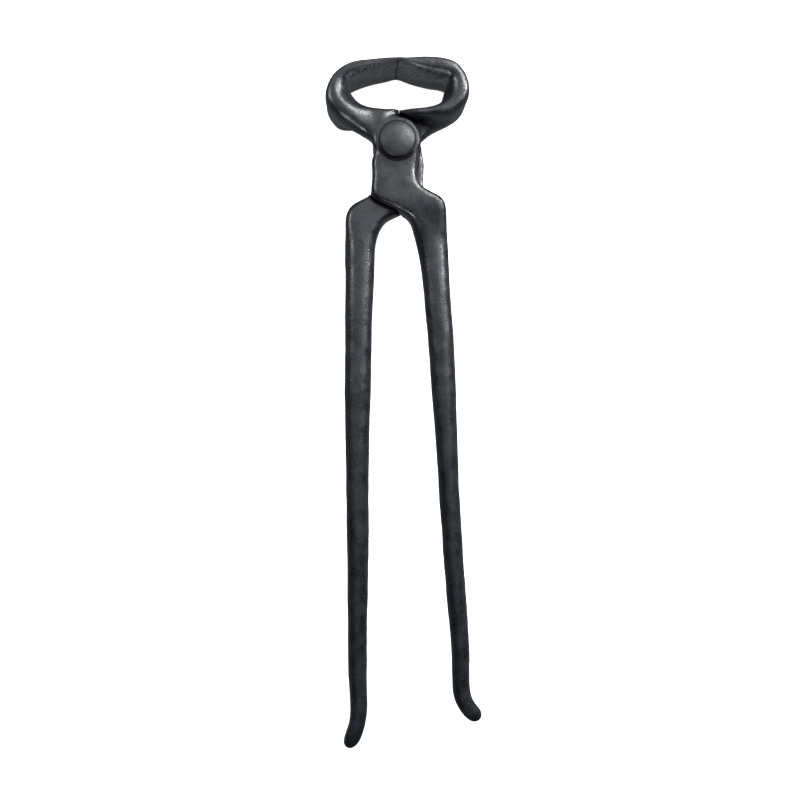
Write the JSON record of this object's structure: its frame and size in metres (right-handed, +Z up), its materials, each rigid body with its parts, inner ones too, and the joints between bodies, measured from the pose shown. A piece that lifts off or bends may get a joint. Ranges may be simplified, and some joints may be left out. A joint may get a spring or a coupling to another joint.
{
  "type": "hoof nipper",
  "caption": "Forged end-cutting nipper with wide rounded jaws, a riveted lap joint and long tapered reins with outward-hooked tips, for trimming hoof wall.",
  "frame": {"origin": "centre of the bounding box's base: the tool lies flat on its jaws' rear rims at z = 0", "axes": "+Z up along the rivet axis, +Y along the tool towards the cutting edges, +X towards the jaw of the rear half"},
  "size_m": [0.0825, 0.3833, 0.03],
  "materials": {
    "forged_black": "satin black oxide on forged steel",
    "rivet_black": "satin black oxide on steel"
  },
  "bodies": {
    "back": {"back_half": "forged_black", "pivot_rivet": "rivet_black"},
    "front": {"front_half": "forged_black"}
  },
  "joints": [
    {"name": "jaw_hinge", "type": "hinge", "parent": "back", "child": "front", "pos_m": [0.0005, 0.14825, 0.015], "axis": [0, 0, 1], "range_deg": [0, 50]}
  ]
}
